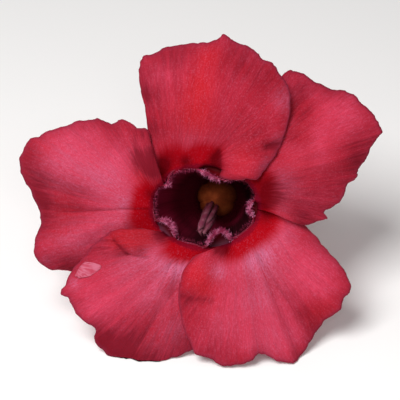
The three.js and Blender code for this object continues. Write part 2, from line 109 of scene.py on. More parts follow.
PETALS["upper_right"] = {
    "edge": [(8.6, 10.8), (10.8, 15.6), (12.7, 20.7), (14.6, 24.8), (16.5, 26), (18.6, 25.2), (20.9, 23.9),
        (23.8, 22.6), (26.5, 21.8), (28.8, 20.4), (30.3, 18.9), (31.7, 17.3), (32.8, 15.5), (33, 14),
        (32.3, 12.8), (31.2, 10.9), (30.2, 9.4), (28.8, 7.2), (28.7, 5.7), (26.9, 4), (25.8, 1.6), (24, 0),
        (22.4, -1), (23.1, -2.3), (20.9, -2.7), (18.1, -3.4), (15.6, -2), (13.3, -0.9)],
    "crown": [(0, -1.0), (0.1, -2.2), (0.17, -3.4), (0.23, -3.2), (0.34, -0.4), (0.45, 1.0), (0.55, 0.3),
        (0.66, -2.0), (0.78, -2.2), (0.88, 0.2), (1, 0.8)],
    "droop": 2.0,
    "swells": [(15.5, 1.2, 3.6, 0.9)],
    "folds": [(12, 6, 27, 5.5, 0.5, 0.2), (12, 5, 26, 2.5, 0.5, 0.2), (13, 7.5, 28.5, 8.2, 0.5, 0.15)],
    "red": [(0, 3), (0.2, 4.2), (0.5, 4.2), (0.75, 3.4), (0.9, 3), (1, 3)],
    "warm": [(14, 17, 3, 0.5), (19, 8, 3, 0.3)],
    "rose": [(24, 18, 5, 0.7), (20, 9, 4, 0.5), (30, 17, 3, 0.2), (20.7, 7.6, 2, 0.3), (17, 15, 3, -0.3),
        (21.5, 13.5, 3, 0.4), (15.9, 21, 1.6, 0.7), (16, 16.5, 1.5, 0.6), (18.8, 17.5, 2.2, -0.5),
        (18.2, 13.5, 2.2, -0.4)],
    "blush": [(16, 4.2, 3, 0.2), (21, 1.5, 2, 0.1), (23.5, 3, 3.5, -0.2), (14.5, 0, 2, 0.2),
        (14, 3.8, 2.4, 0.35)],
    "darker_and_shade": [(16, 14, 3.2, 0.7), (22, 2.4, 4, 0.6), (30, 12.4, 4, 0.8), (24, 23, 3, 0.7),
        (11.2, 0.6, 1.8, 1.2), (17.5, -1.5, 2.5, 0.6), (11.5, 4, 3, 1.2), (28, 6, 3, 0.4),
        (14, 1.6, 2.4, 0.8), (16, 5, 3, 0.5), (24.5, 5.5, 3, 0.35), (18, 22, 2.5, 0.8), (17, 18, 2.5, 0.5),
        (28.5, 8.6, 2, 0.4), (19, -2.4, 2.5, 0.5), (19.5, 9, 2.5, 0.4), (27.5, 9.8, 3, 0.35),
        (19.2, 18, 2, 0.3)],
}
PETALS["lower_right"] = {
    "edge": [(12.7, 0.6), (15.6, -0.8), (18.2, -2.9), (20.6, -5.7), (23.1, -8.4), (25.5, -11.1), (26.9, -14),
        (27.3, -16.2), (26, -17.3), (25.1, -19.5), (23.2, -21.2), (21.4, -23.5), (19.8, -25.9),
        (18.1, -28.2), (16.7, -29.4), (13.9, -28.9), (11.6, -27.9), (10.1, -27.4), (8.9, -28.5),
        (7.2, -29.5), (4.4, -29.9), (2.3, -29.3), (0.3, -28.4), (-1.8, -27.2), (-3.3, -24.3), (-4.3, -20.9),
        (-4.8, -17.3), (-4.6, -13.9), (-3.6, -11.2), (-2, -9.3), (0.2, -8.6)],
    "crown": [(0, -2), (0.1, -0.6), (0.2, 0.8), (0.28, 0.4), (0.36, -2.4), (0.42, -2.0), (0.48, -0.2),
        (0.58, 0.8), (0.7, 0.3), (0.8, 0.2), (0.9, 1), (1, 1.3)],
    "droop": 2.6,
    "swells": [(-1.2, -12, 3.2, 0.9)],
    "lobes": [(-1.6, -12.2, 4.2, 4.4, -20, 0.45)],
    "folds": [(10, -9, 19, -23, 0.7, -0.25), (7, -8, 9, -26, 1.2, 0.2), (-4.4, -16.8, 1.2, -17.4, 1.2, -0.5),
        (12, -6.5, 14, -9.5, 0.3, -0.18), (13.4, -5.6, 15.6, -8.6, 0.3, -0.18),
        (14.6, -4.6, 17, -7.8, 0.3, -0.16), (15.4, -8.6, 18, -12, 0.35, -0.18),
        (10.6, -8, 12.2, -11, 0.3, -0.16)],
    "red": [(0, 4.2), (0.15, 4.2), (0.3, 3.9), (0.5, 3.2), (0.75, 3), (0.9, 1.2), (1, 0)],
    "warm": [(-1.4, -12.4, 2.8, 0.7), (-0.5, -15.5, 2, 0.5), (22, -20, 3, 0.5), (1.5, -18, 3, 0.3)],
    "rose": [(6, -18, 5, 0.7), (20, -13, 6, 0.9), (13, -23, 6, 0.9), (14, -5, 4, 0.4), (20, -21, 3, -0.3),
        (14, -14, 3, -0.3), (9.5, -9, 3, 0.3)],
    "blush": [(9.5, -8.8, 3.4, 1), (14, -5, 3, 0.3), (2.6, -12, 1.6, 0.6), (13, -13, 4, 0.2),
        (9.5, -17, 3.4, 0.4), (12, -25, 4, 0.2), (3, -22, 3, 0.15), (9.4, -8.6, 2.6, 0.25)],
    "darker_and_shade": [(20.5, -20.5, 3, 0.5), (-3, -18, 2.5, 0.7), (4, -27, 3, 0.3), (11.5, -1.4, 1.7, 1.2),
        (0, -28.5, 4, 0.4), (3, -24, 4, 0.2), (-0.5, -17, 2.5, 0.3), (6, -16.5, 3, 0.2),
        (16.5, -16.5, 1.8, 0.3), (18.5, -19.5, 2, 0.4), (-1.9, -22.5, 2.5, 0.35), (21, -23.5, 1.8, 0.6),
        (3.5, -8.2, 2, 0.4), (2.9, -7.6, 1.6, 2)],
}
PETALS["lower_left"] = {
    "edge": [(1.9, -12.9), (1.7, -17.7), (0.6, -22.4), (-1.3, -26), (-3.2, -27.5), (-5.9, -28.4),
        (-8, -29.4), (-9.5, -30.1), (-11.8, -29.8), (-14.1, -29.5), (-15.2, -29.8), (-16.5, -28.9),
        (-18.7, -28), (-20.9, -25.8), (-20.8, -23), (-22.9, -21.2), (-24.9, -19), (-25.8, -16.9),
        (-27, -15.9), (-25.6, -13.5), (-24.1, -11), (-22, -8.6), (-20, -6.3), (-17.7, -4.6), (-14.8, -4),
        (-12, -4), (-9.6, -4.9)],
    "crown": [(0, -1.2), (0.12, -2), (0.2, -2.4), (0.3, -2.6), (0.4, -3.4), (0.5, -3.4), (0.58, -1.0),
        (0.65, 0.7), (0.72, 1), (0.8, 1), (0.9, 1.2), (1, 1.4)],
    "droop": 2.2,
    "swells": [(-13.8, -6, 2.7, 1.0)],
    "lobes": [(-13.6, -5.8, 5.2, 2.8, -14, 0.5)],
    "folds": [(-3.6, -10, -8, -20, 0.4, -0.35), (-4.9, -10, -6.9, -17.5, 0.35, -0.25),
        (-6.2, -10.4, -9, -16.5, 0.3, -0.2), (-5.5, -12, -12, -25, 1.5, -0.4),
        (-16.9, -6.2, -14.4, -8.8, 0.6, -0.6), (-14.4, -8.8, -10.6, -9.4, 0.6, -0.5)],
    "red": [(0, 2.5), (0.15, 3.3), (0.35, 3.2), (0.5, 4.1), (0.65, 3.8), (0.75, 2), (0.85, 0.3), (1, 0)],
    "warm": [(-14, -6, 2.8, 1.1), (-11.6, -5.8, 2, 1.0), (-16.6, -6, 1.6, 0.8)],
    "rose": [(-18, -15, 7, 0.9), (-21, -20, 4, 0.4), (-7, -26, 3, 0.3), (-12.5, -17, 3, 0.5),
        (-19, -11, 2.5, -0.3), (-6, -11.4, 3, 0.5)],
    "blush": [(-5.6, -11, 3.2, 0.9), (-10.4, -9.4, 2.2, 0.4), (-13.5, -10, 2.4, 0.3), (-5.5, -23, 3, 0.35),
        (-10, -16, 4, 0.35), (-15, -12, 3, 0.2), (-24.4, -14.3, 1.1, 0.5), (-10.5, -26, 3, 0.2),
        (-5, -10.5, 2, 0.4), (-5, -10.8, 2, 0.3)],
    "darker_and_shade": [(-17, -28, 4.5, 1.6), (-19.5, -25, 3, 0.9), (-2.5, -26, 4, 0.9), (-10, -27, 4, 0.6),
        (-12.5, -21, 3.5, 0.4), (-14, -5.5, 4, 0.5), (-19.5, -7.5, 3, 0.8), (-15.8, -8.4, 1.6, 0.6),
        (-12, -8.2, 1.2, 0.5), (-6.5, -22, 3, 0.3), (-22.5, -11.4, 2, 0.5), (-14, -24, 2.5, 0.4),
        (-10.6, -18.6, 1.8, 0.3), (-15, -29.5, 2.5, 1), (-19.5, -27.5, 2, 1), (-9, -29.5, 2.5, 0.6),
        (-5.2, -10.8, 2.6, -0.6), (-8.2, -5, 1.6, 2)],
}
PETALS["left"] = {
    "edge": [(-12.4, -7.2), (-17.1, -9.1), (-21.5, -10.9), (-24.5, -12), (-27.2, -12), (-29.9, -11.2),
        (-32.1, -9.4), (-32, -6.3), (-30.9, -3.4), (-31.2, -0.6), (-32.5, 2.5), (-34.3, 5.8), (-34.8, 8.4),
        (-34.3, 10.6), (-32.9, 12.5), (-31, 13.5), (-28.4, 14.4), (-26, 15.1), (-23.8, 15.9), (-21.3, 16.1),
        (-20.4, 16.5), (-18.5, 15.9), (-16.8, 15.9), (-15.8, 16.5), (-13.8, 15.7), (-12.8, 14.7),
        (-10.9, 14.4), (-10.4, 12.7), (-9.8, 10.6), (-9.4, 8.8), (-9.4, 7.2)],
    "crown": [(0, -2), (0.1, -2.2), (0.16, -1.5), (0.23, 0.3), (0.3, -2.3), (0.34, -1.4), (0.43, 1.9),
        (0.52, 1.6), (0.62, 0.6), (0.75, -0.4), (0.87, 0.4), (0.93, 0.9), (1, 1.1)],
    "droop": 2.0,
    "swells": [(-10.6, 9.4, 2.8, 0.8)],
    "folds": [(-10.8, -0.2, -28, -1.0, 0.4, -0.5), (-12, -2.4, -24, -5.5, 0.5, 0.25),
        (-8.2, 8.5, -10.5, 11, 0.6, -0.35), (-13.2, 14.5, -12.6, 6, 1.0, -0.25)],
    "red": [(0, 2.5), (0.15, 4.4), (0.5, 4), (0.7, 3.6), (0.82, 1), (1, 0)],
    "warm": [(-27, 0, 4, 0.4), (-12, 6, 2, 0.5)],
    "rose": [(-22, 10, 7, 1), (-15, 7, 3.5, 0.6), (-22, -5.5, 4, 0.7), (-16, 3, 3, 0.4), (-27, 0, 5, -0.3),
        (-31, 9, 3, -0.3), (-28, 9.5, 4, 0.3)],
    "blush": [(-14.5, 0.5, 2.6, 0.5), (-17, -4, 4, 0.3), (-26, 7, 6, 0.35), (-25, -6, 4, 0.3),
        (-29.8, -10, 0.9, 0.4), (-18.4, 5.4, 3.5, 0.45)],
    "darker_and_shade": [(-25, 0.8, 5, 0.8), (-32, 4, 4, 0.9), (-31, -3, 3, 0.9), (-26, -11, 3, 1.1),
        (-19, -9, 3.5, 1.1), (-15, -6.8, 3, 1), (-10.4, 2.4, 1.2, 0.7), (-10.4, -1.2, 1.2, 0.6),
        (-20.5, 15.5, 4, 0.4), (-11.4, 10, 2.2, 0.9), (-11, 14, 2, 0.8), (-33, 10, 2, 0.5),
        (-15.6, 13, 3, 0.4), (-29.7, -10.4, 2, 0.5), (-31, 1.5, 2.5, 0.6), (-31.5, 8, 3, 0.35),
        (-9.6, 7.2, 2.2, 2), (-19, 5, 3, 0.15), (-12.6, 8.4, 2.2, 0.5)],
}


def eased(table, place):
    """Reads a list of (place, value) pairs at many places, easing from each pair to the next."""
    at, value = np.array(table, dtype=float).T
    k = np.clip(np.searchsorted(at, place) - 1, 0, len(at) - 2)
    t = np.clip((place - at[k]) / (at[k + 1] - at[k]), 0, 1)
    return value[k] + (value[k + 1] - value[k]) * t * t * (3 - 2 * t)


def oval(half_width, half_height, angle):
    return 1 / np.hypot(np.cos(angle) / half_width, np.sin(angle) / half_height)


def through(points, share):
    """A smooth line through the points, read at each share of the way along it."""
    points = np.array(points, dtype=float)
    place = share * (len(points) - 1)
    k = np.minimum(place.astype(int), len(points) - 2)
    t = (place - k)[:, None]
    before, here, there, beyond = (points[np.clip(k + step, 0, len(points) - 1)] for step in (-1, 0, 1, 2))
    leave = (there - before) / 2
    arrive = (beyond - here) / 2
    return (
        (2 * here - 2 * there + leave + arrive) * t ** 3
        + (3 * there - 3 * here - 2 * leave - arrive) * t ** 2
        + leave * t
        + here
    )


def step_up(value, low, high):
    """0 up to low and 1 from high on, with a smooth step between."""
    t = np.clip((value - low) / (high - low), 0, 1)
    return t * t * (3 - 2 * t)


def smoothed(values, reach, ends):
    """Each value's mean with its neighbours, as far as the reach on both sides."""
    count = 2 * reach + 1
    return np.convolve(np.pad(values, reach, ends), np.ones(count) / count, "valid")


mouth_line = through([*MOUTH_EDGE, MOUTH_EDGE[0]], np.arange(EDGE_POINTS) / EDGE_POINTS)
even_turn = np.linspace(0, -2 * np.pi, EDGE_POINTS, endpoint=False)
mouth_angle = np.unwrap(np.arctan2(mouth_line[:, 1], mouth_line[:, 0]))
mouth_angle = even_turn + smoothed(mouth_angle - even_turn, 7, "wrap")
mouth_reach = oval(MOUTH_HALF_WIDTH, MOUTH_HALF_HEIGHT, mouth_angle) - np.hypot(*mouth_line.T)
mouth_fold = step_up(mouth_reach, 0.8, 1.7)


def at_mouth(values, angle):
    """Reads a value kept along the mouth's edge at any angle round it."""
    return np.interp(angle, mouth_angle, values, period=2 * np.pi)


def ragged_edge(points, across, seed):
    """The petal's margin: its smooth line, and the teeth of three sizes that nibble it."""
    line = through(points, across)
    along = through(points, np.minimum(across + 1e-3, 1)) - through(points, np.maximum(across - 1e-3, 0))
    along /= np.linalg.norm(along, axis=1)[:, None]
    inward = np.stack([along[:, 1], -along[:, 0]], axis=1)
    draw = np.random.default_rng(seed)
    nibble = np.zeros_like(across)
    for count, depth in TEETH:
        nibble += depth * np.interp(across * count, np.arange(count + 1), draw.uniform(-1, 1, count + 1))
    nibble *= np.clip(12 * across, 0, 1) * np.clip(12 * (1 - across), 0, 1)
    return line, inward * nibble[:, None]


def near_line(place, x1, y1, x2, y2):
    """How far each point lies from a line between two points, and how far along it."""
    start = np.array((x1, y1))
    way = np.array((x2, y2)) - start
    share = np.clip(((place - start) @ way) / (way @ way), 0, 1)
    return np.linalg.norm(place - start - share[..., None] * way, axis=-1), share


def patches(place, spots):
    """The sum of many soft round spots at each point."""
    total = np.zeros(place.shape[:-1])
    for x, y, radius, strength in spots:
        total += strength * np.exp(-(np.hypot(place[..., 0] - x, place[..., 1] - y) / radius) ** 2)
    return total


def crease_shade(place, folds):
    """Painted shade along the creases that go down."""
    shade = np.zeros(place.shape[:-1])
    for x1, y1, x2, y2, width, depth in folds:
        off, share = near_line(place, x1, y1, x2, y2)
        shade += max(0.0, -depth) * 1.4 * np.exp(-(off / (0.6 * width)) ** 2) * (1 - 0.5 * share)
    return shade


def petal_sheet(petal, first, last, seed, across, out):
    """The middle of one petal as a grid of points, with how far each lies from the mouth."""
    angle = np.radians(first + (last - first) * across)
    fold = at_mouth(mouth_fold, angle)
    inset = smoothed(0.2 + (1 - fold) * np.maximum(0, at_mouth(mouth_reach, angle) - 0.35), 6, "edge")
    r = oval(MOUTH_HALF_WIDTH, MOUTH_HALF_HEIGHT, angle) - inset
    root = np.stack([r * np.cos(angle), r * np.sin(angle)], axis=1)
    margin, teeth = ragged_edge(petal["edge"], across, seed)
    place = root[:, None] + (margin - root)[:, None] * out[:, None]
    place += teeth[:, None] * out[:, None] ** 8
    gone = np.linalg.norm(place - root[:, None], axis=2)
    rise = 1 - np.exp(-gone / RISE_WIDTH)
    height = (
        -0.15
        - (0.5 + 1.3 * fold)[:, None] * np.exp(-gone / 0.25)
        + (PETAL_RISE + CORNER_TILT * (2 * across - 1))[:, None] * rise
        + eased(petal["crown"], across)[:, None] * out ** 1.2
        - petal["droop"] * out ** 2.6
        + patches(place, petal["swells"]) * rise
    )
    for *line, width, depth in petal["folds"]:
        off, share = near_line(place, *line)
        height += depth * np.exp(-(off / width) ** 2) * rise * (1 - 0.6 * share)
    for x, y, half_width, half_height, tilt, lift in petal.get("lobes", []):
        off_x, off_y = place[..., 0] - x, place[..., 1] - y
        c, n = math.cos(math.radians(tilt)), math.sin(math.radians(tilt))
        off = np.hypot((off_x * c + off_y * n) / half_width, (off_y * c - off_x * n) / half_height)
        height += lift * step_up(1.0 - off, 0.0, 0.65) * rise
    # Soft pleats fan out with the veins and frill the margin a little.
    draw = np.random.default_rng(seed + 50)
    for count, depth in PLEATS:
        knots = draw.uniform(-1, 1, (count + 3, 1))
        height += depth * through(knots, across) * out ** 1.5
    return np.concatenate([place, height[..., None]], axis=2), np.maximum(0, gone - inset[:, None])


def apart(these, those):
    """How far each of these points lies from each of those, seen from above."""
    return np.hypot(these[:, None, 0] - those[:, 0], these[:, None, 1] - those[:, 1])


def tuck_under(sheet, cover):
    """Lowers a petal where its neighbour lies over it."""
    flat = sheet.reshape(-1, 3)
    ceiling = np.full(len(flat), np.inf)
    for above in np.array_split(cover[::3, 9::3].reshape(-1, 3), 12):
        off = apart(flat, above)
        ceiling = np.minimum(ceiling, (above[:, 2] + 0.5 * np.maximum(0, off - 0.9)).min(axis=1))
    limit = ceiling - PETAL_SPACING
    lower = np.minimum(flat[:, 2], limit)
    flat[:, 2] = lower - 0.25 * np.log1p(np.exp(-np.abs(flat[:, 2] - limit) / 0.25))
    return flat.reshape(sheet.shape)


class Value:
    """A socket of a material, so that sums on it are written as plain expressions."""

    def __init__(self, finish, socket):
        self.finish = finish
        self.socket = socket

    def sum(self, operation, first, second, clamp=False):
        settings = {"operation": operation, "use_clamp": clamp}
        return self.finish.node("ShaderNodeMath", settings, {0: first, 1: second})

    def __add__(self, other):
        return self.sum("ADD", self, other)

    def __radd__(self, other):
        return self.sum("ADD", other, self)

    def __sub__(self, other):
        return self.sum("SUBTRACT", self, other)

    def __rsub__(self, other):
        return self.sum("SUBTRACT", other, self)

    def __mul__(self, other):
        return self.sum("MULTIPLY", self, other)

    def clamped(self):
        return self.sum("ADD", self, 0.0, clamp=True)

    def between(self, low, high):
        """0 up to low and 1 from high on, with a smooth step between."""
        sockets = {"Value": self, "From Min": low, "From Max": high}
        return self.finish.node("ShaderNodeMapRange", {"interpolation_type": "SMOOTHSTEP"}, sockets)


class Finish:
    """One procedural material, built up node by node on the standard shader."""

    def __init__(self, name, **constants):
        self.material = bpy.data.materials.new(name)
        self.material.use_nodes = True
        self.tree = self.material.node_tree
        self.shader = self.tree.nodes["Principled BSDF"]
        for socket, value in constants.items():
            self.shader.inputs[socket.replace("_", " ")].default_value = value

    def node(self, kind, settings, sockets, output=0):
        made = self.tree.nodes.new(kind)
        for setting, value in settings.items():
            setattr(made, setting, value)
        for socket, value in sockets.items():
            self.fill(made.inputs[socket], value)
        return Value(self, made.outputs[output])

    def fill(self, socket, value):
        if isinstance(value, Value):
            self.tree.links.new(value.socket, socket)
        elif socket.type == "RGBA" and len(value) == 3:
            socket.default_value = (*value, 1)
        else:
            socket.default_value = value

    def made(self, colour, roughness, **normal):
        """The material, with all that changes over its surface."""
        for socket, value in {"Base Color": colour, "Roughness": roughness, **normal}.items():
            self.fill(self.shader.inputs[socket], value)
        return self.material

    def kept(self, name):
        """The number that mark keeps on the piece under this name."""
        return self.node("ShaderNodeAttribute", {"attribute_name": name}, {}, 2)

    def place(self):
        return self.node("ShaderNodeTexCoord", {}, {}, 3)

    def grid(self, across_scale, out_scale, seed=0.0):
        """Where a point lies on its sheet, across and out, each with its own scale."""
        uv = self.node("ShaderNodeTexCoord", {}, {}, 2)
        sockets = {"Vector": uv, "Scale": (across_scale, out_scale, 1), "Location": (seed, 0, seed)}
        return self.node("ShaderNodeMapping", {"vector_type": "POINT"}, sockets)

    def noise(self, at, scale=1.0, detail=2.0, roughness=0.5):
        sockets = {"Vector": at, "Scale": scale, "Detail": detail, "Roughness": roughness}
        return self.node("ShaderNodeTexNoise", {}, sockets)

    def blend(self, share, under, over):
        """Colour over laid on colour under by a share."""
        settings = {"data_type": "RGBA"}
        return self.node("ShaderNodeMix", settings, {0: share, 6: under, 7: over}, 2)

    def layers(self, colour, *over):
        """Lays colours over the first one in turn, each by its share."""
        for share, top in over:
            colour = self.blend(share, colour, top)
        return colour

    def bump(self, height, distance, strength=0.5, **under):
        sockets = {"Height": height, "Distance": distance, "Strength": strength, **under}
        return self.node("ShaderNodeBump", {}, sockets)


CRIMSON = (0.45, 0.017, 0.037)
ROSE = (0.61, 0.046, 0.098)
WARM = (0.50, 0.012, 0.018)
BLUSH = (0.58, 0.16, 0.29)
# Dark crimson for the veins and margins, also laid as painted shade.
DEEP_AND_SHADE = (0.14, 0.0055, 0.0135)
MARGIN = (0.20, 0.020, 0.045)
RING_RED = (0.36, 0.0010, 0.006)
# The red ring's darker tone where the darker patches lie, partly painted shade.
RING_DARK_AND_SHADE = (0.12, 0.0003, 0.003)
# Painted shade at the brink of the mouth.
RING_BRINK_SHADE = (0.14, 0.003, 0.016)
PETAL_BACK = (0.60, 0.15, 0.23)


def petal_finish():
    """Soft, velvety crimson: fanned veins, a red ring at the mouth and pale blushes beyond it, with painted
    shade in folds, on shaded slopes and at the mouth's edge.
    """
    finish = Finish(
        "velvet petal", Subsurface_Weight=0.12, Subsurface_Radius=(1.0, 0.18, 0.22),
        Subsurface_Scale=0.0012, Specular_IOR_Level=0.02,
    )
    spot = finish.place()
    from_mouth = finish.kept("from_mouth")
    from_margin = finish.kept("from_margin")
    darker_and_shade = finish.kept("darker_and_shade")
    veins = finish.noise(finish.grid(62, 2.0), 1.0, 3.0, 0.55)
    fine_veins = finish.noise(finish.grid(140, 8.0, 3.0))
    speckle = finish.noise(finish.grid(120, 34, 5.0), 1.0, 3.0, 0.7)
    dashes = finish.noise(finish.grid(190, 26, 7.0), 1.0, 2.0, 0.6)
    clouds = finish.noise(spot, 150, 3.0)
    grain = finish.noise(spot, 3600, 2.0, 0.6)
    streaks = (veins - 0.5) * 1.4 + (fine_veins - 0.5) * 0.9

    pale = finish.kept("blush") * (0.75 + streaks * 1.1 + (speckle - 0.5) * 2.6 + (grain - 0.5) * 1.2)
    pale_dashes = dashes.between(0.5, 0.74) * clouds.between(0.3, 0.65) * 0.2
    ring_edge = finish.kept("red_reach") + 0.5 + streaks * 1.5 + (clouds - 0.5) * 3.4 + (grain - 0.5) * 1.4
    ring = (ring_edge - from_mouth).between(-1.3, 1.7)
    # The ring darkens with the darker patches, partly as painted shade.
    ring_colour = finish.blend((darker_and_shade * 0.75).clamped(), RING_RED, RING_DARK_AND_SHADE)
    body = finish.layers(
        CRIMSON,
        ((clouds.between(0.36, 0.66) * 0.4 + finish.kept("rose") * 0.8).clamped(), ROSE),
        ((0.26 + streaks * 0.5).clamped() * 0.55, DEEP_AND_SHADE),
        (finish.kept("warm").clamped() * 0.85, WARM),
        (pale.clamped() * 0.8, BLUSH),
        # The darker patches and creases: duller crimson and painted shade.
        ((darker_and_shade * (0.75 + streaks * 0.8)).clamped() * 0.85, DEEP_AND_SHADE),
        ((grain.between(0.48, 0.74) * 0.2 + pale_dashes) * (1.0 - darker_and_shade * 0.7).clamped(), BLUSH),
        (dashes.between(0.48, 0.3) * 0.2, DEEP_AND_SHADE),
        (ring * (1.0 - grain.between(0.48, 0.75) * 0.25), ring_colour),
        # Painted shade within about a millimetre of the mouth's edge.
        ((from_mouth + (grain - 0.5) * 1.6).between(0.9, 0.1) * 0.7, RING_BRINK_SHADE),
        (from_margin.between(3.5, 0.0) * 0.3, DEEP_AND_SHADE),
        (from_margin.between(1.0, 0.0) * 0.6, MARGIN),
    )
    back = finish.blend((0.35 + streaks * 0.6).clamped(), PETAL_BACK, ROSE)
    colour = finish.blend(finish.kept("underside"), body, back)
    relief = finish.bump(veins + fine_veins * 0.5 + speckle * 0.5, 0.00018)
    relief = finish.bump(grain, 0.00006, Normal=relief)
    return finish.made(colour, 0.5 + grain * 0.16 + ring * 0.06, Normal=relief)


def clear_selection():
    bpy.ops.object.select_all(action="DESELECT")


def pick_up(piece):
    clear_selection()
    piece.select_set(True)
    bpy.context.view_layer.objects.active = piece


def finish_with(piece, kind, **settings):
    """Adds a modifier to the piece and applies it."""
    pick_up(piece)
    modifier = piece.modifiers.new(kind, kind)
    for setting, value in settings.items():
        setattr(modifier, setting, value)
    bpy.ops.object.modifier_apply(modifier=modifier.name)


def set_points(piece, points):
    piece.data.vertices.foreach_set("co", np.ascontiguousarray(points, dtype=np.float32).ravel())
    piece.data.update()


def get_points(piece, what="co"):
    """The place of each point of the piece, or the way it faces."""
    points = np.empty(len(piece.data.vertices) * 3, dtype=np.float32)
    piece.data.vertices.foreach_get(what, points)
    return points.reshape(-1, 3)


def new_sheet(name, across, out):
    """A flat grid, and how far across it and out along it each of its points lies, from 0 to 1."""
    clear_selection()
    bpy.ops.mesh.primitive_grid_add(x_subdivisions=across, y_subdivisions=out, size=1)
    piece = bpy.context.object
    piece.name = piece.data.name = name
    return piece, get_points(piece)[:, :2] + 0.5


def mark(piece, name, values):
    """Keeps one number for each point of the piece, which its material reads by name."""
    layer = piece.data.attributes.new(name, "FLOAT", "POINT")
    layer.data.foreach_set("value", np.ascontiguousarray(values, dtype=np.float32).ravel())


MM = 0.001
# The picked bloom rests on two petals and its stalk, with its mouth turned up and forward.
LAID_DOWN = (
    Matrix.Translation((0.0008776, -0.0077025, 0.0245732))
    @ Matrix.Rotation(math.radians(54.003), 4, "X")
    @ Matrix.Rotation(math.radians(0.480), 4, "Y")
    @ Matrix.Rotation(math.radians(-0.6146), 4, "Z")
)


def hand_over(piece, material, node):
    """Lays the piece in its place on the table, pressed flat there, and hands it to the bloom."""
    piece.data.transform(LAID_DOWN @ Matrix.Scale(MM, 4))
    points = get_points(piece)
    points[:, 2] = np.maximum(points[:, 2], 0)
    set_points(piece, points)
    pick_up(piece)
    bpy.ops.object.shade_smooth()
    piece.data.materials.append(material)
    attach(piece, "root")
    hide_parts(node)


across = np.linspace(0, 1, PETAL_ACROSS + 1)
out = np.linspace(0, 1, PETAL_OUT + 1) ** 1.4
raw_sheets = []
for k, petal in enumerate(PETALS.values()):
    first = PARTINGS[k - 1] + (360 if k == 0 else 0)
    last = PARTINGS[k]
    raw_sheets.append(petal_sheet(petal, first + CORNER_OVERLAP, last - CORNER_OVERLAP, 3 + k, across, out))

PETAL_FINISH = petal_finish()
sheets = {}
for k, (name, petal) in enumerate(PETALS.items()):
    raw, away = raw_sheets[k]
    sheet = tuck_under(raw.copy(), raw_sheets[k - 1][0])
    sheets[name] = sheet
    piece, shares = new_sheet("petal_" + name, PETAL_ACROSS, PETAL_OUT)
    column, row = np.rint(shares * (PETAL_ACROSS, PETAL_OUT)).astype(int).T
    points = sheet[column, row]
    set_points(piece, points)
    flat = points[:, :2]
    from_margin = np.linalg.norm(points - sheet[column, -1], axis=1)
    mark(piece, "from_mouth", away[column, row])
    mark(piece, "from_margin", from_margin)
    mark(piece, "red_reach", eased(petal["red"], column / PETAL_ACROSS))
    # The darker patches, partly painted shade, and the painted shade of the creases.
    mark(piece, "darker_and_shade", patches(flat, petal["darker_and_shade"]) + crease_shade(flat, petal["folds"]))
    for key in ("warm", "rose", "blush"):
        mark(piece, key, patches(flat, petal[key]))
    thinning = piece.vertex_groups.new(name="thickness")
    for index, share in enumerate(np.clip(0.45 + 0.55 * from_margin / 2.5, 0, 1)):
        thinning.add([index], float(share), "REPLACE")
    finish_with(
        piece, "SOLIDIFY", thickness=PETAL_THICK, offset=0.0,
        vertex_group="thickness", use_even_offset=False,
    )
    mark(piece, "underside", get_points(piece, "normal")[:, 2] < -0.05)
    hand_over(piece, PETAL_FINISH, "corolla")

# ---- Turned-over edge --------------------
# A small piece of the lower left petal's margin is folded back over it and shows its pale back.
# It is the same thin, soft petal, and grows out of it along the hinge.

FLAP_HINGE = [(-24.2, -12.8), (-23.8, -11.9), (-23.2, -11.0), (-22.4, -10.3)]
FLAP_EDGE = [
    (-24.2, -12.8), (-23.2, -13.2), (-21.8, -12.9), (-20.4, -12.3), (-19.4, -10.9), (-20.8, -10.4),
    (-22.4, -10.3),
]
FLAP_THICK = 0.22


def flap_finish():
    finish = Finish("turned-over edge", Specular_IOR_Level=0.1)
    streaks = finish.noise(finish.grid(14, 2.0), 1.0, 3.0)
    grain = finish.noise(finish.place(), 3600)
    colour = finish.blend(streaks.between(0.35, 0.65), (0.43, 0.045, 0.085), (0.52, 0.125, 0.195))
    return finish.made(colour, 0.55 + grain * 0.2, Normal=finish.bump(streaks, 0.0002, 0.6))


flap, shares = new_sheet("turned_edge", 24, 14)
side, up = shares.T
hinge = through(FLAP_HINGE, side)
flat = hinge + (through(FLAP_EDGE, side) - hinge) * (up * (1 + 0.04 * np.sin(23 * side)))[:, None]
ground = sheets["lower_left"].reshape(-1, 3)
nearest = apart(flat, ground).argmin(axis=1)
lift = 0.1 + 0.3 * np.sin(np.pi * up ** 0.6) + 0.15 * up + 0.12 * np.sin(9 * side) * up
set_points(flap, np.column_stack([flat, ground[nearest, 2] + lift]))
finish_with(flap, "SOLIDIFY", thickness=FLAP_THICK, offset=0.0)
hand_over(flap, flap_finish(), "corolla")

# ---- Tube --------------------------------
# The petals are one piece with a funnel-shaped tube, dark maroon inside and greenish pink outside.
# Where two petals part, its rim folds in over the mouth as a small hood with a pocket behind it.

# The inside, from the foot up: z, half-width, half-height.
TUBE_INSIDE = (
    (-31, 2.2, 2.2), (-28, 2.5, 2.5), (-25, 3.3, 3.3), (-21, 4.8, 4.7), (-15, 6.3, 5.9), (-9, 7.6, 6.5),
    (-5, 8.5, 6.9), (-2, 9.2, 7.3),
)
# The rim, from the inside out: how far out, its height between the hoods and its height on them.
RIM = ((0.0, -0.6, 0.6), (0.0, -0.15, 0.75), (0.14, 0.0, 0.85), (0.3, -0.05, 0.8), (0.42, -0.2, 0.5))
TUBE_LEAN = np.array((2.3, 1.9))
LEAN_DEPTH = 12


def tube_middle(z):
    """The tube leans to the upper right on its way down."""
    return TUBE_LEAN * (1 - np.exp(min(z, 0) / LEAN_DEPTH))


near_mouth = np.concatenate([sheet[:, :32].reshape(-1, 3) for sheet in sheets.values()])


def lowest_petal(places):
    """The height of the lowest petal over each of the places."""
    return np.array([near_mouth[near < 0.4, 2].min() for near in apart(places, near_mouth)])


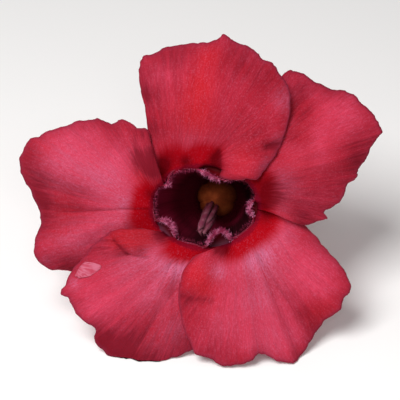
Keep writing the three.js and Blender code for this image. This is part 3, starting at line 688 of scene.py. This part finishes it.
def tube_rows():
    """The wall as rings of points: up the inside, over the mouth's edge and down the outside."""
    facing = np.stack([np.cos(mouth_angle), np.sin(mouth_angle)], axis=1)
    lip = oval(MOUTH_HALF_WIDTH, MOUTH_HALF_HEIGHT, mouth_angle)
    edge = facing * np.maximum(lip, np.hypot(*mouth_line.T) + 0.35)[:, None]
    along = np.roll(mouth_line, -1, axis=0) - np.roll(mouth_line, 1, axis=0)
    along /= np.linalg.norm(along, axis=1)[:, None]
    outward = np.stack([-along[:, 1], along[:, 0]], axis=1)
    inside, outside = [], []
    for z, half_width, half_height in TUBE_INSIDE:
        reach = oval(half_width, half_height, mouth_angle)
        wall = tube_middle(z) + facing * reach[:, None]
        inner = wall + (mouth_line - wall) * 0.94 * step_up(z, -12, -1)
        inside.append((inner, z))
        thick = np.maximum(0.8, ((inner - wall) * facing).sum(axis=1) + 0.6)
        outside.append((tube_middle(z) + facing * (reach + thick)[:, None], z))
    rim = [(mouth_line + outward * off, low + (high - low) * mouth_fold) for off, low, high in RIM]
    foot = mouth_line + outward * 0.5
    behind = foot + (edge - foot) * (0.4 + 0.15 * mouth_fold[:, None])
    pocket = [(foot, -0.55 - 0.5 * mouth_fold), (behind, -1.0 - 1.05 * mouth_fold)]
    pocket.append((edge * 0.985, -1.2 - 0.3 * mouth_fold))
    flare = [(edge + facing * off, lowest_petal(edge + facing * off) - 0.08) for off in (0.6, 0.85)]
    flare += [(edge + facing * 0.6, -1.4), (edge + facing * 0.2, -2.3)]
    return inside + rim + pocket + flare + outside[-2::-1]


def tube_finish():
    """Dark maroon within, painted darker far down the tube as shade and lighter on the walls the window
    misses as painted light, mauve in the pockets, red at the rim; pale greenish pink without.
    """
    finish = Finish("throat", Specular_IOR_Level=0.12)
    depth = finish.kept("depth")
    rim = finish.kept("rim")
    fibres = finish.noise(finish.grid(90, 2.0))
    clouds = finish.noise(finish.place(), 300)
    rim_colour = finish.blend(rim, (0.10, 0.0006, 0.006), (0.46, 0.04, 0.10))
    mauve = finish.kept("mauve").between(0.3, 0.95)
    inner = finish.layers(
        (0.24, 0.007, 0.033),
        # Painted shade: the wall darkens far down the tube.
        (depth.between(-19, -11), (0.020, 0.0006, 0.003)),
        ((fibres - 0.45).clamped() * 0.2, (0.20, 0.015, 0.06)),
        # Painted light on the walls that the window misses.
        (finish.kept("painted_light_wall") * (0.3 + fibres * 0.8), (0.29, 0.008, 0.040)),
        (depth.between(-4.5, -0.5) * 0.5, (0.13, 0.003, 0.014)),
        (rim.between(0.0, 0.15), rim_colour),
        (finish.kept("pocket"), finish.blend(mauve, (0.12, 0.0006, 0.004), (0.095, 0.014, 0.034))),
    )
    outer = finish.layers(
        (0.48, 0.44, 0.16),
        (depth.between(-30, -6), (0.66, 0.17, 0.22)),
        (fibres.between(0.45, 0.62) * 0.5, (0.50, 0.09, 0.12)),
        (clouds * 0.2, (0.70, 0.45, 0.38)),
    )
    colour = finish.blend(finish.kept("outside"), inner, outer)
    return finish.made(colour, 0.5 + clouds * 0.2, Normal=finish.bump(fibres, 0.0002))


rows = tube_rows()
clear_selection()
bpy.ops.mesh.primitive_torus_add(major_segments=EDGE_POINTS, minor_segments=len(rows))
tube = bpy.context.object
tube.name = tube.data.name = "tube"
points = np.empty((EDGE_POINTS, len(rows), 3))
for k, (place, z) in enumerate(rows):
    points[:, k, :2] = place
    points[:, k, 2] = z
set_points(tube, points)
# Rows are counted from the first one of the rim, and the pocket's three follow its five.
row = np.arange(len(rows)) - len(TUBE_INSIDE)
mark(tube, "depth", points[:, :, 2])
mark(tube, "outside", np.tile(row > 7, EDGE_POINTS))
# Painted light: the inner walls that the window misses, to the left and above, get a lighter red. The top
# petal covers the hood to the upper right.
away_from_window = 0.5 * np.sin(mouth_angle) - np.cos(mouth_angle)
away_from_window = np.maximum(away_from_window, 1.1 * np.sin(mouth_angle) - 0.6 * np.cos(mouth_angle))
painted_light_wall = np.clip(away_from_window + 0.15, 0, 1)[:, None] * step_up(points[:, :, 2], -20, -9)
mark(tube, "painted_light_wall", painted_light_wall * (row < 0))
covered = step_up(mouth_line[:, 0], 1.0, 3.0) * step_up(mouth_line[:, 1], 3.2, 4.4)
# Painted shade: the hood's rim is darker where the top petal covers it.
rim = 0.15 + 0.85 * mouth_fold * (1 - 0.9 * covered)
mark(tube, "rim", rim[:, None] * ((row > 0) & (row < 5)))
in_pocket = mouth_fold[:, None] * ((row > 4) & (row < 8))
mark(tube, "pocket", in_pocket)
low_pocket = step_up(-mouth_line[:, 1], 1.8, 2.4)[:, None]
mark(tube, "mauve", in_pocket * low_pocket * np.clip((row - 4) / 3, 0, 1))
pick_up(tube)
bpy.ops.object.mode_set(mode="EDIT")
bpy.ops.mesh.select_all(action="SELECT")
bpy.ops.mesh.normals_make_consistent(inside=False)
bpy.ops.object.mode_set(mode="OBJECT")
finish_with(tube, "SUBSURF", levels=1, render_levels=1)
hand_over(tube, tube_finish(), "corolla")

# ---- Fringe ------------------------------
# Short, soft, pink-white hairs stand along the rim of the mouth, thickest on the hoods, and darker
# ones on the wall inside it. They grow out of the tube. All of one kind are one piece.

FRINGE_HAIRS = 4200
THROAT_HAIRS = 2600
# The three rings of a hair: how far along it, and how wide there, both as shares.
HAIR_RINGS = ((0.0, 1.0), (0.5, 0.7), (1.0, 0.12))
HAIR_CORNERS = (0, 2.094, 4.189)
HAIR_FACES = [(2, 1, 0), (6, 7, 8)]
for ring in (0, 3):
    for corner in range(3):
        after = (corner + 1) % 3
        HAIR_FACES.append((ring + corner, ring + after, ring + 3 + after, ring + 3 + corner))


def fringe_finish(name, dark, pale):
    finish = Finish(name, Specular_IOR_Level=0.2)
    clouds = finish.noise(finish.place(), 900)
    return finish.made(finish.blend(clouds.between(0.35, 0.65), dark, pale), 0.6 + clouds * 0.2)


def put_in(name, data):
    """Puts a new object made of the data in the scene."""
    made = bpy.data.objects.new(name, data)
    bpy.context.collection.objects.link(made)
    return made


def hair_piece(name, hairs):
    """Puts many hairs, each (root, way, length, thickness, bend), in one mesh."""
    points, faces = [], []
    for root, way, length, thick, bend in hairs:
        start = len(points)
        faces += [tuple(start + index for index in face) for face in HAIR_FACES]
        way = way.normalized()
        aside = way.cross(Vector((0.3, 0.5, 0.8))).normalized()
        other = way.cross(aside)
        for share, width in HAIR_RINGS:
            middle = root + way * length * share + (aside * bend) * length * share * share
            for turn in HAIR_CORNERS:
                points.append(middle + (aside * math.cos(turn) + other * math.sin(turn)) * thick * width)
    mesh = bpy.data.meshes.new(name)
    mesh.from_pydata(points, [], faces)
    return put_in(name, mesh)


draw = random.Random(11)


def any_way(side, low, high):
    """A random way: as far as side to each side, and between low and high upwards."""
    return Vector((draw.uniform(-side, side), draw.uniform(-side, side), draw.uniform(low, high)))


hairs = []
for index in range(FRINGE_HAIRS):
    k = draw.randrange(EDGE_POINTS)
    after = (k + 1) % EDGE_POINTS
    fold = float(mouth_fold[k])
    if draw.random() > (0.1 + 0.9 * fold) * (1 - 0.9 * covered[k]):
        continue
    x, y = mouth_line[k] + (mouth_line[after] - mouth_line[k]) * draw.random()
    along = mouth_line[after] - mouth_line[k - 1]
    outward = Vector((-along[1], along[0], 0)).normalized()
    root = Vector((x, y, -0.1 + 0.85 * fold - draw.uniform(0, 0.3))) + outward * draw.uniform(0, 0.34)
    way = outward * draw.uniform(-0.9, 0.5) + any_way(0.5, 0.3, 1)
    length = (0.45 + 0.45 * fold) * draw.uniform(0.5, 1.3)
    hairs.append((root, way, length, 0.045, draw.uniform(-0.3, 0.3)))
fringe_hair = fringe_finish("fringe hair", (0.38, 0.03, 0.11), (0.84, 0.27, 0.48))
hand_over(hair_piece("fringe", hairs), fringe_hair, "corolla")

hairs = []
for index in range(THROAT_HAIRS):
    k = draw.randrange(EDGE_POINTS)
    left = 0.5 - 0.5 * math.cos(mouth_angle[k])
    if draw.random() > 0.25 + 0.75 * left ** 2:
        continue
    drop = draw.uniform(0, 1) ** 2.2
    root = Vector((*(mouth_line[k] * (1 - 0.03 * drop)), -0.3 - 4.5 * drop))
    way = Vector((-root.x, -root.y, 0)).normalized() * draw.uniform(0.3, 1) + any_way(0.4, 0.2, 1)
    hairs.append((root, way, draw.uniform(0.4, 1.0), 0.04, draw.uniform(-0.4, 0.4)))
throat_hair = fringe_finish("throat hair", (0.15, 0.004, 0.022), (0.42, 0.045, 0.12))
hand_over(hair_piece("throat_hairs", hairs), throat_hair, "corolla")

# ---- Stamens -----------------------------
# Five brown anthers lean together as a cone deep in the tube, each on a short filament from the
# wall. A long mauve tail with soft hairs grows from the tip of each towards the mouth.

ANTHER_FOOT = -16.7
ANTHER_LENGTH = 8.4
ANTHER_HALF_WIDTH = 1.95
ANTHER_HALF_HEIGHT = 2.35
ANTHER_RING = 3.1
ANTHER_LEAN = -0.37
CONE_SHIFT = np.array((0.7, 0.4))
STAMEN_TURNS = [math.radians(18 + 72 * k) for k in range(5)]
TAIL_FOOT = -14.4
TAIL_TIP = (-0.5, -4.5, -2.4)
TAIL_STEPS = 24
TAIL_HAIRS = 150


def anther_finish():
    finish = Finish("anther", Specular_IOR_Level=0.05)
    spot = finish.place()
    clouds = finish.noise(spot, 500)
    brown = finish.blend(clouds.between(0.4, 0.7), (0.18, 0.031, 0.009), (0.26, 0.052, 0.014))
    relief = finish.bump(finish.noise(spot, 4000), 0.0001)
    return finish.made(brown, 0.65 + clouds * 0.2, Normal=relief)


def tail_finish():
    finish = Finish("tail", Specular_IOR_Level=0.1, Subsurface_Weight=0.1)
    clouds = finish.noise(finish.place(), 900)
    mauve = finish.blend(clouds.between(0.35, 0.7), (0.18, 0.028, 0.058), (0.34, 0.11, 0.15))
    # Painted shade: the tails darken towards their foot, low in the tube.
    colour = finish.blend(finish.kept("nearness").between(0.35, 1.1), (0.07, 0.006, 0.012), mauve)
    return finish.made(colour, 0.6 + clouds * 0.2, Normal=finish.bump(clouds, 0.0001, 0.4))


def join(pieces, name):
    whole = pieces[0]
    pick_up(whole)
    for piece in pieces:
        piece.select_set(True)
    bpy.ops.object.join()
    whole.name = whole.data.name = name
    return whole


def strand(name, line, radii, sides=2):
    """A round strand along a smooth line, as thick at each point as its radius says."""
    curve = bpy.data.curves.new(name, "CURVE")
    curve.dimensions = "3D"
    curve.bevel_depth = 1.0
    curve.bevel_resolution = sides
    curve.use_fill_caps = True
    spline = curve.splines.new("POLY")
    spline.points.add(len(line) - 1)
    for point, place, radius in zip(spline.points, line, radii):
        point.co = (*place, 1)
        point.radius = radius
    pick_up(put_in(name, curve))
    bpy.ops.object.convert(target="MESH")
    return bpy.context.object


def beside(middle, reach, turn, z):
    """The point at height z and a reach from the middle, on the side that the turn faces."""
    return Vector((middle[0] + reach * math.cos(turn), middle[1] + reach * math.sin(turn), z))


cone_foot = tube_middle(ANTHER_FOOT) + CONE_SHIFT
cone_top = tube_middle(ANTHER_FOOT + ANTHER_LENGTH) + CONE_SHIFT
wall_middle = tube_middle(ANTHER_FOOT - 2.6)
clear_selection()
bpy.ops.mesh.primitive_uv_sphere_add(segments=20, ring_count=16, radius=1)
anther = bpy.context.object
x, y, z = get_points(anther).T
up = (z + 1) / 2
around = np.arctan2(y, x)
width = np.maximum(0, np.sin(np.pi * np.clip(up, 0, 1) ** 0.75)) ** 0.8
groove = 1 - 0.06 * np.exp(-((around / 0.35) ** 2))
x = ANTHER_HALF_WIDTH * width * groove * np.cos(around)
y = ANTHER_HALF_HEIGHT * width * groove * np.sin(around)
set_points(anther, np.column_stack([x, y, up * ANTHER_LENGTH]))
anthers, filaments = [], []
for turn in STAMEN_TURNS:
    copy = put_in("anther", anther.data.copy())
    copy.data.transform(
        Matrix.Translation((*cone_foot, ANTHER_FOOT))
        @ Matrix.Rotation(turn, 4, "Z")
        @ Matrix.Translation((ANTHER_RING, 0, 0))
        @ Matrix.Rotation(ANTHER_LEAN, 4, "Y")
    )
    anthers.append(copy)
    line = [
        beside(cone_foot, 1.75, turn, ANTHER_FOOT + 0.6),
        beside(cone_foot, 2.6, turn, ANTHER_FOOT - 0.9),
        beside(wall_middle, 2.75, turn, ANTHER_FOOT - 2.7),
    ]
    filaments.append(strand("filament", line, (0.35, 0.3, 0.4)))
bpy.data.objects.remove(anther)
hand_over(join(anthers + filaments, "anthers"), anther_finish(), "stamens")

tails, tail_hairs = [], []
draw = random.Random(5)
for k, turn in enumerate(STAMEN_TURNS):
    start = beside(cone_top, 0.3, turn, TAIL_FOOT)
    tip = Vector(TAIL_TIP) + beside((0, 0), 0.65, turn + 2.4, -0.3 * k)
    bow = beside((0.5, 0.8), 0.8, turn + 1.2, 0)
    line, radii = [], []
    for step in range(TAIL_STEPS + 1):
        t = step / TAIL_STEPS
        line.append(start.lerp(tip, t) + bow * math.sin(math.pi * t))
        radii.append((0.24 + 0.46 * t) * math.sqrt(max(0.04, 1 - max(0, (t - 0.88) / 0.12) ** 2)))
    tails.append(strand("tail", line, radii))
    for index in range(TAIL_HAIRS):
        t = draw.uniform(0.1, 1)
        root = start.lerp(tip, t) + bow * math.sin(math.pi * t)
        way = any_way(1, -0.3, 0.9)
        tail_hairs.append((root, way, draw.uniform(0.6, 1.0), 0.05, draw.uniform(-0.3, 0.3)))
plume = join(tails + [hair_piece("plume_hairs", tail_hairs)], "tails")
mark(plume, "nearness", (get_points(plume)[:, 2] - TAIL_FOOT) / (TAIL_TIP[2] - TAIL_FOOT))
hand_over(plume, tail_finish(), "stamens")

# ---- Pistil ------------------------------
# The fleshy, pale green ovary, style and stigma head stand in the tube's foot, hidden under the
# anthers. They keep their plain shape.


def pistil_finish():
    finish = Finish("pistil")
    clouds = finish.noise(finish.place(), 800)
    colour = finish.blend(clouds, (0.42, 0.46, 0.20), (0.62, 0.60, 0.34))
    return finish.made(colour, 0.45 + clouds * 0.2)


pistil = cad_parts["pistil"].data
pistil.materials.clear()
pistil.materials.append(pistil_finish())

# ---- Calyx and stalk ---------------------
# Five narrow, downy green sepals with reddish tips grow from a fleshy cup and close round the foot
# of the tube. The short stalk under them droops and ends where the bloom was snapped off.

CUP_PROFILE = [
    (0, -33.5), (0.9, -33.45), (1.8, -33.2), (2.7, -32.6), (3.3, -31.8), (3.7, -31.0), (3.85, -30.4),
    (3.7, -30.0), (3.3, -29.95), (2.9, -30.3), (1.5, -30.8), (0, -31.0),
]
CUP_MIDDLE = -33.0
FOOT_OUTSIDE = [(z, half_width + 0.8) for z, half_width, half_height in TUBE_INSIDE]
SEPAL_TURNS = [math.radians(parting + 36) for parting in PARTINGS]
SEPAL_FOOT = -31.2
SEPAL_LENGTH = 7.4
SEPAL_HALF_WIDTH = 1.3
SEPAL_THICK = 0.34
STALK_LINE = [
    (0, 0, -32.4), (0, -0.2, -34.6), (-0.05, -0.75, -37.2), (-0.3, -1.6, -39.0), (-0.6, -2.6, -40.6),
]
STALK_RADII = [(0, 2.0), (0.12, 1.5), (0.3, 1.2), (0.7, 1.12), (0.9, 1.2), (1, 1.25)]
DOWN_HAIRS = 1500


def green_finish():
    finish = Finish("calyx green", Specular_IOR_Level=0.25, Subsurface_Weight=0.06)
    spot = finish.place()
    clouds = finish.noise(spot, 350, 3.0)
    grain = finish.noise(spot, 2600)
    fibres = finish.noise(finish.grid(24, 1.5))
    green = finish.layers(
        (0.16, 0.23, 0.055),
        (clouds.between(0.35, 0.65), (0.33, 0.36, 0.11)),
        (fibres.between(0.5, 0.7) * 0.35, (0.42, 0.44, 0.20)),
        ((finish.kept("tip") * 0.9 + grain.between(0.55, 0.8) * 0.25).clamped(), (0.42, 0.10, 0.07)),
        (finish.kept("cut"), (0.50, 0.44, 0.22)),
    )
    return finish.made(green, 0.55 + grain * 0.2, Normal=finish.bump(grain + clouds, 0.00012))


clear_selection()
bpy.ops.mesh.primitive_uv_sphere_add(segments=60, ring_count=36, radius=1)
cup = bpy.context.object
x, y, z = get_points(cup).T
around = np.arctan2(y, x)
reach, height = through(CUP_PROFILE, 1 - np.arccos(np.clip(z, -1, 1)) / np.pi).T
bulge = 1 + 0.05 * np.cos(5 * (around - SEPAL_TURNS[0])) * step_up(height, -33, -31)
reach = np.maximum(0, reach) * bulge
set_points(cup, np.column_stack([reach * np.cos(around), reach * np.sin(around), height]))

green_parts = [cup]
draw = random.Random(8)
for turn in SEPAL_TURNS:
    sepal, shares = new_sheet("sepal", 16, 28)
    side, up = 2 * shares[:, 0] - 1, shares[:, 1]
    z = SEPAL_FOOT + up * (SEPAL_LENGTH * draw.uniform(0.93, 1.05))
    half_width = SEPAL_HALF_WIDTH * (0.8 + 1.3 * up) * (1 - up) ** 0.8 + 0.04
    flare = draw.uniform(0.2, 0.6) * up ** 3
    ridge = 0.16 * np.exp(-((side / 0.3) ** 2)) * (1 - up)
    curl = 0.12 * side ** 2 * (1 - up)
    r = np.maximum(3.15, eased(FOOT_OUTSIDE, z)) + 0.34 + flare + ridge - curl
    angle = turn + side * half_width / r + draw.uniform(-0.12, 0.12) * up ** 2
    set_points(sepal, np.column_stack([r * np.cos(angle), r * np.sin(angle), z]))
    finish_with(sepal, "SOLIDIFY", thickness=SEPAL_THICK, offset=0.0)
    green_parts.append(sepal)

share = np.linspace(0, 1, 40)
bumps = 1 + 0.02 * np.sin(31 * share) + 0.02 * np.sin(57 * share + 1)
green_parts.append(strand("stalk", through(STALK_LINE, share), eased(STALK_RADII, share) * bumps, 7))
calyx = join(green_parts, "calyx")
points = get_points(calyx)
facing = get_points(calyx, "normal")
down = []
for index in range(DOWN_HAIRS):
    k = draw.randrange(len(points))
    way = Vector(facing[k]) + any_way(0.5, -0.2, 0.8)
    down.append((Vector(points[k]), way, draw.uniform(0.2, 0.45), 0.02, draw.uniform(-0.3, 0.3)))
calyx = join([calyx, hair_piece("down", down)], "calyx")
height = get_points(calyx)[:, 2]
mark(calyx, "tip", step_up(height, -27, -23.2))
mark(calyx, "cut", step_up(-height, 40.7, 41.0))
calyx.data.transform(Matrix.Translation((*tube_middle(CUP_MIDDLE), 0)))
hand_over(calyx, green_finish(), "calyx_and_stalk")

# ---- Table, light and camera -------------
# A plain near-white table, soft light from a window at the upper left with a weak fill from in
# front, and the camera looking straight down the bloom's mouth.

TABLE_SIZE = 6
TABLE_DROP = 0.0002
CAMERA_SPOT = (-0.94, 1.316, 313)


def table_finish():
    finish = Finish("white table", Specular_IOR_Level=0.1)
    clouds = finish.noise(finish.place(), 3)
    colour = finish.blend(clouds, (0.93, 0.93, 0.93), (0.95, 0.95, 0.95))
    return finish.made(colour, 0.85 + clouds * 0.1)


clear_selection()
bpy.ops.mesh.primitive_plane_add(size=TABLE_SIZE, location=(0, 0, -TABLE_DROP))
table = bpy.context.object
table.name = "table"
table.data.transform(table.matrix_world)
table.matrix_world = Matrix.Identity(4)
table.data.materials.append(table_finish())

world = bpy.data.worlds.new("studio")
bpy.context.scene.world = world
world.use_nodes = True
backdrop = world.node_tree.nodes["Background"]
backdrop.inputs["Color"].default_value = (1.0, 0.98, 0.97, 1)
backdrop.inputs["Strength"].default_value = 0.30


def soft_light(name, place, size, power, colour):
    """A square softbox at a place in the bloom's own millimetres, aimed at its mouth."""
    lamp = bpy.data.lights.new(name, "AREA")
    lamp.size = size
    lamp.energy = power
    lamp.color = colour
    spot = LAID_DOWN @ (Vector(place) * MM)
    way = LAID_DOWN.translation - spot
    turned = way.to_track_quat("-Z", "Y").to_matrix().to_4x4()
    put_in(name, lamp).matrix_world = Matrix.Translation(spot) @ turned


soft_light("window", (-150, 195, 372), 0.22, 2.0, (1.0, 0.99, 0.98))
soft_light("fill", (12, 16, 340), 0.06, 0.13, (1.0, 0.98, 0.96))

camera_data = bpy.data.cameras.new("camera")
camera_data.lens = 150
camera_data.clip_start = 0.01
camera = put_in("camera", camera_data)
camera.matrix_world = LAID_DOWN @ Matrix.Translation([distance * MM for distance in CAMERA_SPOT])
bpy.context.scene.camera = camera
bpy.context.scene.view_settings.view_transform = "Standard"
